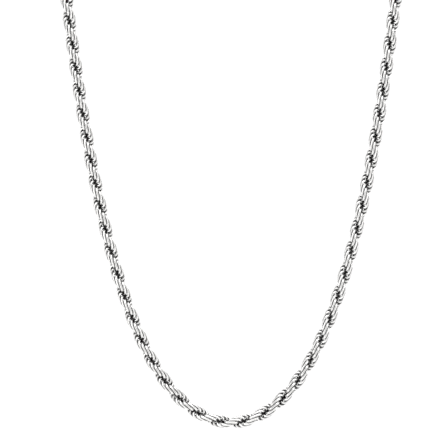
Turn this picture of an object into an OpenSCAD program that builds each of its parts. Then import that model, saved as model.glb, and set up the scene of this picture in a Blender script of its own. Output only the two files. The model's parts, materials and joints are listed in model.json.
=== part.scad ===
// Rope chain necklace with a lobster clasp.
// Origin: centre of the neck circle. +Z up, the clasp at +Y, the drape hangs at -Y.
// Every link is a closed ring that passes through the three links on each side of it,
// and each is turned a little from the last, so that their long sides wind round as a rope.

/* [Chain] */
// Outside diameter of the rope
rope_d = 4.0; // [3.9:0.1:4.1]
// Length of chain that one link adds
pitch = 1.161; // [1.159:0.001:1.161]
// Wire thickness in the plane of a link
wire_t = 0.45; // [0.42:0.01:0.45]
// Wire width across the plane of a link
wire_w = 0.6; // [0.5:0.01:0.6]
// Corner radius of a link's centreline
corner_r = 1.15; // [1.1:0.05:1.2]

/* [Drape] */
// Bottom radius of the hanging curve
sag = 19; // [19:0.1:19.3]
// Length of chain from the lowest point to where it turns back over the shoulder
drape_s = 158.45; // [158.45:0.05:159]
// Radius of the turn over the shoulder
shoulder_r = 20; // [20:0.1:20.5]

/* [Clasp] */
// Wire thickness of the rings and eyes
ring_wire = 0.7; // [0.65:0.05:0.7]
// Centreline radius of each end cap's eye
eye_r = 1.1; // [1.1:0.01:1.15]
// Centreline radius of the jump ring
jump_r = 1.75; // [1.75:0.01:1.8]
// Centreline radius of the end ring that the hook catches
end_ring_r = 2.4; // [2.35:0.01:2.4]
// Thickness of the clasp body
clasp_t = 2.4; // [2.4:0.1:2.6]
// Width of the slot that holds the trigger
slot_t = 1.2; // [1.2:0.05:1.3]

/* [Hidden] */
$fn = 48;
turns = 35;                            // turns of rope in the necklace, an odd number
links_per_turn = 13;
half_long = 1.75 * pitch;              // link centre to the middle of its short side
half_wide = (rope_d - wire_t) / 2;     // link centre to the middle of its long side
twist = -360 / links_per_turn;         // turn from one link to the next
middle_turn = 90;                      // turn of the middle link, which lies edge on to the front
side_turns = (turns - 1) / 2;          // turns of rope on each side of the middle one
end_s = turns * links_per_turn * pitch / 2;   // chain length from its lowest point to an end

// The hanging curve: lean from horizontal, x and height at the length s from its lowest point
function lean(s) = atan(s / sag);
function hang_x(s) = sag * ln(s / sag + sqrt(s * s / sag / sag + 1));
function hang_z(s) = sqrt(s * s + sag * sag) - sag;

top_lean = lean(drape_s);
neck_r = hang_x(drape_s) + shoulder_r * cos(top_lean);
drop = hang_z(drape_s) + shoulder_r * sin(top_lean);
shoulder_s = shoulder_r * PI / 2;

// Turn over the shoulder and turn round the neck at the length s, in degrees
function over(s) = min(max(s - drape_s, 0), shoulder_s) / shoulder_r * 180 / PI;
function round_neck(s) = max(s - drape_s - shoulder_s, 0) / neck_r * 180 / PI;

// Point of the centreline at the length s, for s of 0 or more
function place(s) =
    let (h = min(s, drape_s), a = over(s), b = round_neck(s))
    let (up = shoulder_r * sin(a), back = shoulder_r * (1 - cos(a)))
    b > 0
        ? [neck_r * cos(b), neck_r * sin(b), 0]
        : [hang_x(h) + up * cos(top_lean), back - shoulder_r, hang_z(h) + up * sin(top_lean) - drop];

// Sets its children on the centreline at the length s, with +Z along the chain
module along(s) {
    side = s < 0 ? -1 : 1;
    d = abs(s);
    p = place(d);
    translate([side * p[0], p[1], p[2]])
        rotate([0, 0, side * round_neck(d)])
            rotate(side * over(d), [-side * sin(top_lean), 0, cos(top_lean)])
                rotate([0, 90 - side * lean(min(d, drape_s)), 0])
                    children();
}

// Filled outline of a link, grown by g from its centreline
module link_outline(g) {
    cx = half_wide - corner_r;
    cz = half_long - corner_r;
    for (x = [-cx, cx]) {
        for (z = [-cz, cz]) {
            translate([x, z])
                circle(r = corner_r + g);
        }
    }
    square([2 * (half_wide + g), 2 * cz], center = true);
    square([2 * cx, 2 * (half_long + g)], center = true);
}

// One closed link in the XZ plane, its long sides along Z
module link() {
    rotate([90, 0, 0]) {
        linear_extrude(wire_w, center = true) {
            difference() {
                link_outline(wire_t / 2);
                link_outline(-wire_t / 2);
            }
        }
    }
}

// One full turn of the rope, number n from the middle of the chain
module turn(n) {
    color("silver") {
        for (i = [0:links_per_turn - 1]) {
            k = n * links_per_turn + i - (links_per_turn - 1) / 2;
            along(k * pitch)
                rotate([0, 0, middle_turn + twist * k])
                    link();
        }
    }
}

// End caps: a cup over each end of the chain with an eye on its closed face
cap_gap = 0.15;                        // room between the chain and its cup
cap_wall = 0.4;
cap_floor = 0.8;
cap_hold = 2.2;                        // length of a cup before the chain's last half pitch
cap_d = rope_d + 2 * (cap_gap + cap_wall);
cap_top = half_long + (wire_t - pitch) / 2 + cap_gap + cap_floor;
eye_z = cap_top + eye_r + ring_wire / 4;

module ring(r) {
    rotate_extrude()
        translate([r, 0])
            circle(d = ring_wire);
}

// End cap along +Z, its eye in the YZ plane
module end_cap() {
    difference() {
        translate([0, 0, -cap_hold])
            cylinder(h = cap_top + cap_hold, d = cap_d);
        translate([0, 0, -cap_hold - 1])
            cylinder(h = cap_top + cap_hold - cap_floor + 1, d = cap_d - 2 * cap_wall);
    }
    translate([0, 0, eye_z])
        rotate([0, 90, 0])
            ring(eye_r);
}

module right_end_cap() {
    color("silver")
        along(end_s)
            rotate([0, 0, top_lean - 90])
                end_cap();
}

module left_end_cap() {
    mirror([1, 0, 0])
        right_end_cap();
}

// Clasp line: x runs along it from the jump ring to the end ring, 0 at the middle
end_turn = round_neck(end_s);
eye_x = neck_r * cos(end_turn) - eye_z * sin(end_turn);
clasp_y = neck_r * sin(end_turn) + eye_z * cos(end_turn);
slack = 0.1;                           // gap where one piece hangs in the next
jump_x = -eye_x + eye_r + jump_r - ring_wire - slack;
end_ring_x = eye_x - eye_r - end_ring_r + ring_wire + slack;

// From the centre of a ring of radius r to a bar t thick that it pulls on
function reach(r, t) = let (inner = r - ring_wire / 2) sqrt(inner * inner - t * t / 4) - slack;

module jump_ring() {
    color("silver")
        translate([jump_x, clasp_y, 0])
            ring(jump_r);
}

module end_ring() {
    color("silver")
        translate([end_ring_x, clasp_y, 0])
            ring(end_ring_r);
}

// Clasp outlines, drawn in the XZ plane
bail_t = 1.2;                          // the bail is thinner than the body, to fit in the jump ring
bail_r = 1.8;
bail_hole_r = 0.95;
bail = [jump_x + reach(jump_r, bail_t) + bail_hole_r, 0];
hook_r = 3.5;
hook_hole_r = 2.35;
hook_hole = [end_ring_x - reach(end_ring_r, clasp_t) - hook_hole_r, 0];
hook = hook_hole - [0.3, 0];           // the hook is thinnest at its far end
shank_r = 1.9;
shank = bail + [bail_hole_r + shank_r, 0];
waist = 0.05;                          // how far inside its end circles a tapered bar lies
pivot = hook - [4.4, 1.3];
rivet_r = 0.4;
run = 0.03;                            // running clearance of the trigger on its rivet
trigger_t = 1.0;
boss_r = 0.95;
tip_r = 0.45;
shut = -15;                            // lean of the shut trigger
lever = end_ring_x - end_ring_r - ring_wire / 2 - pivot[0] - tip_r - slack;
tip = pivot + lever * [cos(shut), sin(shut)];
thumb = pivot + [-1.5, -2.3];
thumb_r = 0.55;
spring_t = 0.8;
spring_wire = 0.16;

// Straight bar from a to b, tapering from the half width at_a to at_b
module taper(a, at_a, b, at_b) {
    across = [a[1] - b[1], b[0] - a[0]] / norm(b - a);
    polygon([a + across * at_a, b + across * at_b, b - across * at_b, a - across * at_a]);
}

module disc(at, r) {
    translate(at)
        circle(r);
}

// Stands an outline up on the clasp line, t thick
module in_clasp(t) {
    translate([0, clasp_y, 0])
        rotate([90, 0, 0])
            linear_extrude(t, center = true)
                children();
}

// Gap in the underside of the hook, swept by the end of the trigger
module gate_outline() {
    intersection() {
        disc(pivot, lever + tip_r + slack);
        polygon([pivot + [1.4, 0], hook_hole, pivot + [7, -0.5], pivot + [7, -5], pivot + [0.5, -5]]);
    }
}

// Room in the body for the trigger from shut to open, and for its spring
module slot_outline() {
    translate(pivot)
        polygon([[-3.4, -3.7], [-1.5, 0.3], [-0.7, 1.5], [2.9, 2.1], [2.9, -3.7]]);
}

module clasp_body() {
    color("silver") {
        difference() {
            union() {
                in_clasp(bail_t) {
                    disc(bail, bail_r);
                    taper(bail, bail_r - waist, shank, shank_r - waist);
                }
                in_clasp(clasp_t) {
                    disc(shank, shank_r);
                    taper(shank, shank_r - waist, hook, hook_r - 8 * waist);
                    disc(hook, hook_r);
                }
            }
            in_clasp(clasp_t + 1) {
                disc(bail, bail_hole_r);
                disc(hook_hole, hook_hole_r);
                gate_outline();
                disc(pivot, rivet_r);
            }
            in_clasp(slot_t)
                slot_outline();
        }
    }
}

// Lever from the rivet to its tip, with a thumb piece behind
module clasp_trigger() {
    tip_side = (tip_r - waist) * [-sin(shut), cos(shut)];
    thumb_side = [0.42, -0.27];
    color("silver") {
        difference() {
            union() {
                in_clasp(trigger_t)
                    disc(pivot, boss_r);
                in_clasp(trigger_t)
                    disc(tip, tip_r);
                in_clasp(trigger_t)
                    disc(thumb, thumb_r);
                in_clasp(trigger_t)
                    polygon([
                        tip + tip_side,
                        tip - tip_side,
                        pivot + [0.5, -1.0],
                        thumb + thumb_side,
                        thumb - thumb_side,
                        pivot + [-0.8, 0.3],
                        pivot + [0.2, 0.85]
                    ]);
            }
            in_clasp(clasp_t)
                disc(pivot, rivet_r + run);
        }
    }
}

module clasp_rivet() {
    color("gray")
        in_clasp(clasp_t)
            disc(pivot, rivet_r);
}

// V of flat spring above the trigger, its bend over the rivet
module clasp_spring() {
    bend = pivot + [-0.45, 1.35];
    fixed_end = pivot + [2, 1.78];
    free_end = pivot + [2.1, 0.3];
    half = [0, spring_wire / 2];
    color("gray")
        in_clasp(spring_t)
            polygon([
                bend,
                fixed_end + half,
                fixed_end - half,
                bend + [0.5, -0.04],
                free_end + half,
                free_end - half
            ]);
}

function turn_name(n) = str("turn_", n < 0 ? "left_" : n > 0 ? "right_" : "middle_", abs(n));

for (n = [-side_turns:side_turns]) {
    turn(n);
}
left_end_cap();
right_end_cap();
jump_ring();
end_ring();
clasp_body();
clasp_trigger();
clasp_rivet();
clasp_spring();
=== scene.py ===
import json
import math

import bmesh
import bpy
import numpy as np
from mathutils import Matrix, Vector
from mathutils.kdtree import KDTree

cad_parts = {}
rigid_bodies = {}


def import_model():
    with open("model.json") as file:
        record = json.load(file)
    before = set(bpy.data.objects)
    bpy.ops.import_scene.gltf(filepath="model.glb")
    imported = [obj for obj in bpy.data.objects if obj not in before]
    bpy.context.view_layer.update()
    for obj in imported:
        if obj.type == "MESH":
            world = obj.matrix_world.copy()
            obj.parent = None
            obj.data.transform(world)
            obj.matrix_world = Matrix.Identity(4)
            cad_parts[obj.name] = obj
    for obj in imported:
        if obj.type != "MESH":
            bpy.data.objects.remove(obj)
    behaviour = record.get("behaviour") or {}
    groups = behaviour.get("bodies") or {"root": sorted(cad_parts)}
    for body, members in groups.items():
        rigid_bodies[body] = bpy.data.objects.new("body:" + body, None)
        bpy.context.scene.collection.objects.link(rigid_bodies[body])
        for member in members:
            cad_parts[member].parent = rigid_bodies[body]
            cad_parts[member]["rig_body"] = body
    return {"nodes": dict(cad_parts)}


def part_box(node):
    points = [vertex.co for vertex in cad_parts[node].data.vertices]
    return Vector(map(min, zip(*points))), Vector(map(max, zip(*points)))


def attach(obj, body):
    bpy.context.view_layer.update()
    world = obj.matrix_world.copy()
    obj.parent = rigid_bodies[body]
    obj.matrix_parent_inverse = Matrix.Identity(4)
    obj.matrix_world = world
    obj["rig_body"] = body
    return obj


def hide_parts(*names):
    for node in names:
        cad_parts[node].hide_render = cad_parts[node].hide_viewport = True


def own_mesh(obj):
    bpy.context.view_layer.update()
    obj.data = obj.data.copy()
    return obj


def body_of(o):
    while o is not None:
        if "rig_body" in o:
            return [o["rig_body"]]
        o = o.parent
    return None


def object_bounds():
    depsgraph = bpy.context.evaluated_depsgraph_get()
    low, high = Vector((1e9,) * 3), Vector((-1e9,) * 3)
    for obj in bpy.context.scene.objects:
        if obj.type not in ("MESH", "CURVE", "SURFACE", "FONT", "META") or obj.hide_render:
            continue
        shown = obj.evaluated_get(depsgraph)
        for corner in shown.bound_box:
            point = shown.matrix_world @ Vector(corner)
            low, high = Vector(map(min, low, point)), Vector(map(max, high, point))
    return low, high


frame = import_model()
cad_lo, cad_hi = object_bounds()

MM = 0.001

# Links: soft round wire on the centreline of the flatter CAD wire
LINK_T = 0.66 * MM        # wire in the plane of a link
LINK_W = 0.76 * MM        # wire across it
CORNER_R = 1.15 * MM      # centreline radius of a link's corners
CAD_LINK_T = 0.45 * MM
ROUNDNESS = 0.8           # 1 is an ellipse, less is squarer
WELD = 0.0002 * MM        # corners of the CAD mesh this close are one

CAMERA_DISTANCE = 1.2
CAMERA_X = -0.0023
CAMERA_RISE = 0.0658      # above the lowest point of the chain
PICTURE_WIDTH = 0.1445    # of the drape's plane, across the picture


def add_object(name, data):
    obj = bpy.data.objects.new(name, data)
    bpy.context.scene.collection.objects.link(obj)
    return obj


# ---------- camera, first ----------
def add_camera(y_of_drape, low_z):
    data = bpy.data.cameras.new("photo_camera")
    data.sensor_width = 36
    data.lens = data.sensor_width * CAMERA_DISTANCE / PICTURE_WIDTH
    data.clip_start = 0.05
    data.clip_end = 10
    camera = add_object("photo_camera", data)
    camera.location = (CAMERA_X, y_of_drape - CAMERA_DISTANCE, low_z + CAMERA_RISE)
    camera.rotation_euler = (math.pi / 2, 0, 0)
    bpy.context.scene.camera = camera


middle_lo, middle_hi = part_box("turn_middle_0")
low_z = cad_lo[2]
add_camera((middle_lo[1] + middle_hi[1]) / 2, low_z)


# ---------- materials ----------
def new_material(name):
    m = bpy.data.materials.new(name)
    m.use_nodes = True
    m.node_tree.nodes.clear()
    return m, m.node_tree.nodes, m.node_tree.links


def metal(name, color, dark, rough, scratch, crevice):
    """Polished metal with faint scratches, wear in its shine, and painted shade in its
    crevices.

    The base colour is painted dark, as shade, where other metal closes a spot in within the
    distance crevice.
    """
    m, nodes, links = new_material(name)
    out = nodes.new("ShaderNodeOutputMaterial")
    bsdf = nodes.new("ShaderNodeBsdfPrincipled")
    bsdf.inputs["Metallic"].default_value = 1.0
    links.new(bsdf.outputs["BSDF"], out.inputs["Surface"])
    coords = nodes.new("ShaderNodeTexCoord")

    # Painted shade: an AO node mixes the base colour towards the dark colour in crevices and
    # between links
    deep = nodes.new("ShaderNodeAmbientOcclusion")
    deep.samples = 8
    deep.inputs["Distance"].default_value = crevice
    ramp = nodes.new("ShaderNodeMapRange")
    ramp.inputs["From Min"].default_value = 0.57
    ramp.inputs["From Max"].default_value = 1.0
    links.new(deep.outputs["AO"], ramp.inputs["Value"])
    painted_shade_mix = nodes.new("ShaderNodeMix")
    painted_shade_mix.data_type = "RGBA"
    painted_shade_mix.inputs["A"].default_value = (*dark, 1)
    painted_shade_mix.inputs["B"].default_value = (*color, 1)
    links.new(ramp.outputs["Result"], painted_shade_mix.inputs["Factor"])
    links.new(painted_shade_mix.outputs["Result"], bsdf.inputs["Base Color"])

    wear = nodes.new("ShaderNodeTexNoise")
    wear.inputs["Scale"].default_value = 900
    wear.inputs["Detail"].default_value = 4
    links.new(coords.outputs["Object"], wear.inputs["Vector"])
    shine = nodes.new("ShaderNodeMapRange")
    shine.inputs["To Min"].default_value = rough * 0.7
    shine.inputs["To Max"].default_value = rough * 1.5
    links.new(wear.outputs["Fac"], shine.inputs["Value"])
    links.new(shine.outputs["Result"], bsdf.inputs["Roughness"])

    stretch = nodes.new("ShaderNodeMapping")
    stretch.inputs["Scale"].default_value = (1, 1, 0.08)
    links.new(coords.outputs["Object"], stretch.inputs["Vector"])
    lines = nodes.new("ShaderNodeTexNoise")
    lines.inputs["Scale"].default_value = 9000
    lines.inputs["Detail"].default_value = 2
    links.new(stretch.outputs["Vector"], lines.inputs["Vector"])
    bump = nodes.new("ShaderNodeBump")
    bump.inputs["Strength"].default_value = scratch
    bump.inputs["Distance"].default_value = 0.01 * MM
    links.new(lines.outputs["Fac"], bump.inputs["Height"])
    links.new(bump.outputs["Normal"], bsdf.inputs["Normal"])
    return m


# The second colour given to each metal is its painted crevice shade
silver = metal(
    "polished_silver", (0.93, 0.925, 0.915), (0.015, 0.015, 0.016),
    rough=0.12, scratch=0.25, crevice=0.8 * MM,
)
# The castings are the same silver as the links, with the base colour painted darker as shade
# so that their faces read grey
shaded_cast_silver = metal(
    "shaded_cast_silver", (0.64, 0.635, 0.625), (0.02, 0.02, 0.02),
    rough=0.15, scratch=0.3, crevice=2 * MM,
)
steel = metal(
    "spring_steel", (0.5, 0.5, 0.51), (0.05, 0.05, 0.05),
    rough=0.28, scratch=0.5, crevice=0.8 * MM,
)


def stand_for(obj, node, material):
    """Gives obj its material and puts it in the CAD node's place, on the node's body."""
    obj.data.materials.clear()
    obj.data.materials.append(material)
    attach(obj, body_of(frame["nodes"][node])[0])
    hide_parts(node)


# ---------- the links ----------
def link_template(half_long, half_wide, steps=7, around=12):
    """A closed ring of soft oblong wire in the local XZ plane, as vertices and quads."""
    cx, cz = half_wide - CORNER_R, half_long - CORNER_R
    path = []
    for quarter, (sx, sz) in enumerate(((1, 1), (-1, 1), (-1, -1), (1, -1))):
        for i in range(steps + 1):
            a = math.pi / 2 * (quarter + i / steps)
            path.append((sx * cx, sz * cz, math.cos(a), math.sin(a)))
    section = []
    for j in range(around):
        b = 2 * math.pi * (j + 0.5) / around
        out = math.copysign(abs(math.cos(b)) ** ROUNDNESS, math.cos(b)) * LINK_T / 2
        side = math.copysign(abs(math.sin(b)) ** ROUNDNESS, math.sin(b)) * LINK_W / 2
        section.append((CORNER_R + out, side))
    verts = [(x + r * c, side, z + r * s) for x, z, c, s in path for r, side in section]
    quads = []
    for i in range(len(path)):
        here, after = i * around, (i + 1) % len(path) * around
        for j in range(around):
            k = (j + 1) % around
            quads.append((here + j, here + k, after + k, after + j))
    return np.array(verts), quads


def islands(mesh):
    """The triangles of each connected part of a mesh, after welding corners that meet."""
    co = np.empty(len(mesh.vertices) * 3)
    mesh.vertices.foreach_get("co", co)
    mesh.calc_loop_triangles()
    tri = np.empty(len(mesh.loop_triangles) * 3, dtype=np.int64)
    mesh.loop_triangles.foreach_get("vertices", tri)
    keys = np.round(co.reshape(-1, 3) / WELD).astype(np.int64)
    keys, welded = np.unique(keys, axis=0, return_inverse=True)
    tri = welded.reshape(-1)[tri.reshape(-1, 3)]
    points = keys * WELD
    label = np.arange(len(points))
    while True:
        low = label[tri].min(axis=1)
        new = label.copy()
        for corner in range(3):
            np.minimum.at(new, tri[:, corner], low)
        new = new[new]
        if (new == label).all():
            break
        label = new
    part = label[tri[:, 0]]
    for number in np.unique(part):
        yield points[tri[part == number]]


def link_frame(tris):
    """Centre, axes (short side, normal, long side) and spans of one link from its surface."""
    area = np.linalg.norm(np.cross(tris[:, 1] - tris[:, 0], tris[:, 2] - tris[:, 0]), axis=1)
    centre = (tris.mean(axis=1) * area[:, None]).sum(axis=0) / area.sum()
    off = tris - centre
    _, axes = np.linalg.eigh(np.einsum("t,tvi,tvj->ij", area, off, off))
    normal, short = axes[:, 0], axes[:, 1]
    long_way = np.cross(short, normal)
    wide, long = [np.ptp(off.reshape(-1, 3) @ a) for a in (short, long_way)]
    return centre, (short, normal, long_way), wide, long


def build_turn(node):
    """One turn of the rope, a soft wire link in the place of each CAD link."""
    verts, faces = [], []
    for tris in islands(frame["nodes"][node].data):
        centre, axes, wide, long = link_frame(tris)
        shape, quads = link_template((long - CAD_LINK_T) / 2, (wide - CAD_LINK_T) / 2)
        base = len(verts)
        verts.extend(map(tuple, centre + shape @ np.array(axes)))
        faces.extend(tuple(base + v for v in q) for q in quads)
    mesh = bpy.data.meshes.new(node + "_wire")
    mesh.from_pydata(verts, [], faces)
    mesh.polygons.foreach_set("use_smooth", [True] * len(faces))
    mesh.update()
    stand_for(add_object(node + "_wire", mesh), node, silver)


for name in sorted(frame["nodes"]):
    if name.startswith("turn_"):
        build_turn(name)


# ---------- the closure ----------
def wire_ring(node, steps=96, around=20):
    """A round wire ring in the place of the CAD one, which lies level."""
    lo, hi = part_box(node)
    centre = (Vector(lo) + Vector(hi)) / 2
    wire = (hi[2] - lo[2]) / 2
    radius = (hi[0] - lo[0]) / 2 - wire
    bm = bmesh.new()
    grid = []
    for i in range(steps):
        a = 2 * math.pi * i / steps
        row = []
        for j in range(around):
            b = 2 * math.pi * j / around
            r = radius + wire * math.cos(b)
            spot = Vector((r * math.cos(a), r * math.sin(a), wire * math.sin(b)))
            row.append(bm.verts.new(centre + spot))
        grid.append(row)
    for i in range(steps):
        here, after = grid[i], grid[(i + 1) % steps]
        for j in range(around):
            k = (j + 1) % around
            bm.faces.new((here[j], after[j], after[k], here[k])).smooth = True
    mesh = bpy.data.meshes.new(node + "_wire")
    bm.to_mesh(mesh)
    bm.free()
    stand_for(add_object(node + "_wire", mesh), node, silver)


def remeshed(node, voxel):
    """The CAD piece as one even skin of small quads, in a new mesh in millimetres."""
    mesh = frame["nodes"][node].data.copy()
    mesh.transform(Matrix.Scale(1 / MM, 4))
    bm = bmesh.new()
    bm.from_mesh(mesh)
    bmesh.ops.remove_doubles(bm, verts=bm.verts, dist=0.002)
    bm.to_mesh(mesh)
    bm.free()
    holder = add_object(node + "_holder", mesh)
    skin = holder.modifiers.new("skin", "REMESH")
    skin.mode = "VOXEL"
    skin.voxel_size = voxel
    tree = bpy.context.evaluated_depsgraph_get()
    result = bpy.data.meshes.new_from_object(holder.evaluated_get(tree))
    result.name = node + "_cast"
    result.update()
    bpy.data.objects.remove(holder)
    bpy.data.meshes.remove(mesh)
    return result


def crown(mesh, middle_y, kept, reach, rim):
    """Thin a flat plate, in millimetres, over the distance reach in from its outline.

    The layer within kept of the middle stays as it is, and what lies beyond it comes
    down to the share rim at the outline. The rivet's hole doesn't count as outline.
    """
    edge_skip = 0.05      # walls this little above the kept layer aren't outline
    flat_band = 0.12      # strip along the outline that is thinned evenly
    hole_room = 0.2       # round the rivet
    n = len(mesh.vertices)
    co, normal = np.empty(n * 3), np.empty(n * 3)
    mesh.vertices.foreach_get("co", co)
    mesh.vertices.foreach_get("normal", normal)
    co, normal = co.reshape(-1, 3), normal.reshape(-1, 3)
    pin_lo, pin_hi = np.array(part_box("clasp_rivet")) / MM
    pin = (pin_lo + pin_hi) / 2
    from_pin = np.hypot(co[:, 0] - pin[0], co[:, 2] - pin[2])
    height = co[:, 1] - middle_y
    wall = (abs(normal[:, 1]) < 0.5) & (abs(height) > kept + edge_skip)
    outline = np.flatnonzero(wall & (from_pin > (pin_hi[0] - pin_lo[0]) / 2 + hole_room))
    tree = KDTree(len(outline))
    for i in outline:
        tree.insert((co[i, 0], 0, co[i, 2]), int(i))
    tree.balance()
    away = np.array([tree.find((x, 0, z))[2] for x, _, z in co])
    away = np.clip((away - flat_band) / reach, 0, 1)
    arc = np.sqrt(1 - (1 - away) ** 2)
    over = np.maximum(abs(height) - kept, 0)
    thick = np.minimum(abs(height), kept) + over * (rim + (1 - rim) * arc)
    co[:, 1] = middle_y + np.sign(height) * thick
    mesh.vertices.foreach_set("co", co.ravel())


def cast_piece(node, voxel, rounds, crowning=None):
    """The CAD piece as a polished casting: edges rounded over, flat faces crowned."""
    mesh = remeshed(node, voxel)
    if crowning:
        crown(mesh, **crowning)
    mesh.transform(Matrix.Scale(MM, 4))
    mesh.polygons.foreach_set("use_smooth", [True] * len(mesh.polygons))
    obj = add_object(node + "_cast", mesh)
    polish = obj.modifiers.new("polish", "SMOOTH")
    polish.factor = 0.5
    polish.iterations = rounds
    stand_for(obj, node, shaded_cast_silver)


def steel_piece(node, edge, segments):
    """The CAD piece in steel, its sharp edges bevelled."""
    mesh = frame["nodes"][node].data.copy()
    mesh.name = node + "_cast"
    bm = bmesh.new()
    bm.from_mesh(mesh)
    bmesh.ops.remove_doubles(bm, verts=bm.verts, dist=0.001 * MM)
    bmesh.ops.dissolve_limit(bm, angle_limit=math.radians(1), verts=bm.verts, edges=bm.edges)
    bm.to_mesh(mesh)
    bm.free()
    mesh.polygons.foreach_set("use_smooth", [True] * len(mesh.polygons))
    mesh.set_sharp_from_angle(angle=math.radians(35))
    obj = add_object(node + "_cast", mesh)
    bevel = obj.modifiers.new("rounded_edges", "BEVEL")
    bevel.width = edge
    bevel.segments = segments
    bevel.limit_method = "ANGLE"
    bevel.angle_limit = math.radians(40)
    bevel.harden_normals = True
    stand_for(obj, node, steel)
    return obj


wire_ring("jump_ring")
wire_ring("end_ring")
for side in ("left", "right"):
    cast_piece(side + "_end_cap", voxel=0.06, rounds=40)

# The clasp is crowned on both faces, and keeps the layer that its trigger turns in
plate_lo, plate_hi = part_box("clasp_trigger")
plate_y = (plate_lo[1] + plate_hi[1]) / 2 / MM
plate_half = (plate_hi[1] - plate_lo[1]) / 2 / MM
cast_piece(
    "clasp_body", voxel=0.08, rounds=26,
    crowning=dict(middle_y=plate_y, kept=plate_half + 0.1, reach=1.0, rim=0.35),
)
cast_piece(
    "clasp_trigger", voxel=0.07, rounds=14,
    crowning=dict(middle_y=plate_y, kept=0.25, reach=0.7, rim=0.5),
)
steel_piece("clasp_rivet", edge=0.08 * MM, segments=3)

# The spring's V closes as the trigger opens; here it only gets a mesh of its own
spring = steel_piece("clasp_spring", edge=0.02 * MM, segments=1)
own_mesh(spring)


# ---------- studio ----------
def paper_material():
    """White paper with a faint fibre, lit a little from behind so that it stays even."""
    m, nodes, links = new_material("backdrop_paper")
    out = nodes.new("ShaderNodeOutputMaterial")
    bsdf = nodes.new("ShaderNodeBsdfPrincipled")
    bsdf.inputs["Base Color"].default_value = (0.9, 0.9, 0.9, 1)
    bsdf.inputs["Roughness"].default_value = 0.9
    bsdf.inputs["Emission Color"].default_value = (1, 1, 1, 1)
    bsdf.inputs["Emission Strength"].default_value = 0.05
    fibre = nodes.new("ShaderNodeTexNoise")
    fibre.inputs["Scale"].default_value = 120
    bump = nodes.new("ShaderNodeBump")
    bump.inputs["Strength"].default_value = 0.05
    links.new(fibre.outputs["Fac"], bump.inputs["Height"])
    links.new(bump.outputs["Normal"], bsdf.inputs["Normal"])
    links.new(bsdf.outputs["BSDF"], out.inputs["Surface"])
    return m


def backdrop(width, floor_z, front, back, top, bend, steps=12):
    """A floor that curves up into a wall, from y = front to y = back."""
    profile = [(front, floor_z)]
    for i in range(steps + 1):
        a = math.pi / 2 * i / steps
        profile.append((back - bend + bend * math.sin(a), floor_z + bend - bend * math.cos(a)))
    profile.append((back, top))
    bm = bmesh.new()
    rows = [[bm.verts.new((x, y, z)) for x in (-width / 2, width / 2)] for y, z in profile]
    for a, b in zip(rows, rows[1:]):
        bm.faces.new((a[0], a[1], b[1], b[0]))
    mesh = bpy.data.meshes.new("backdrop")
    bm.to_mesh(mesh)
    bm.free()
    mesh.polygons.foreach_set("use_smooth", [True] * len(mesh.polygons))
    obj = add_object("backdrop", mesh)
    obj.data.materials.append(paper_material())


def area_light(name, where, size, power, look_at=(0, -0.02, -0.09)):
    """A soft box, turned towards the middle of the necklace unless look_at says otherwise."""
    data = bpy.data.lights.new(name, "AREA")
    data.shape = "RECTANGLE"
    data.size, data.size_y = size
    data.energy = power
    obj = add_object(name, data)
    obj.location = where
    obj.rotation_euler = (Vector(look_at) - Vector(where)).to_track_quat("-Z", "Y").to_euler()


def studio_world():
    """Grey room, palest overhead and darker towards the floor."""
    w = bpy.data.worlds.new("studio")
    bpy.context.scene.world = w
    w.use_nodes = True
    nodes, links = w.node_tree.nodes, w.node_tree.links
    coords = nodes.new("ShaderNodeTexCoord")
    split = nodes.new("ShaderNodeSeparateXYZ")
    level = nodes.new("ShaderNodeMapRange")
    level.inputs["From Min"].default_value = -0.5
    level.inputs["From Max"].default_value = 0.7
    level.inputs["To Min"].default_value = 0.35
    links.new(coords.outputs["Generated"], split.inputs["Vector"])
    links.new(split.outputs["Z"], level.inputs["Value"])
    links.new(level.outputs["Result"], nodes["Background"].inputs["Color"])
    nodes["Background"].inputs["Strength"].default_value = 0.85


backdrop(14, low_z - 0.7, front=-9, back=3.2, top=3.0, bend=1.0)
area_light("top_box", (0, -0.45, 0.95), (1.3, 0.9), 4)
area_light("front_box", (0.1, -1.6, 0.95), (1.6, 0.9), 6)
area_light("left_box", (-1.0, -0.75, -0.05), (0.55, 1.1), 3)
area_light("right_box", (1.05, -0.7, 0.0), (0.45, 1.1), 2.4)
area_light("back_wash", (0, 1.4, 1.8), (3.0, 0.8), 26, look_at=(0, 3.2, -0.1))
studio_world()
bpy.context.scene.view_settings.view_transform = "Standard"
bpy.context.scene.view_settings.look = "None"
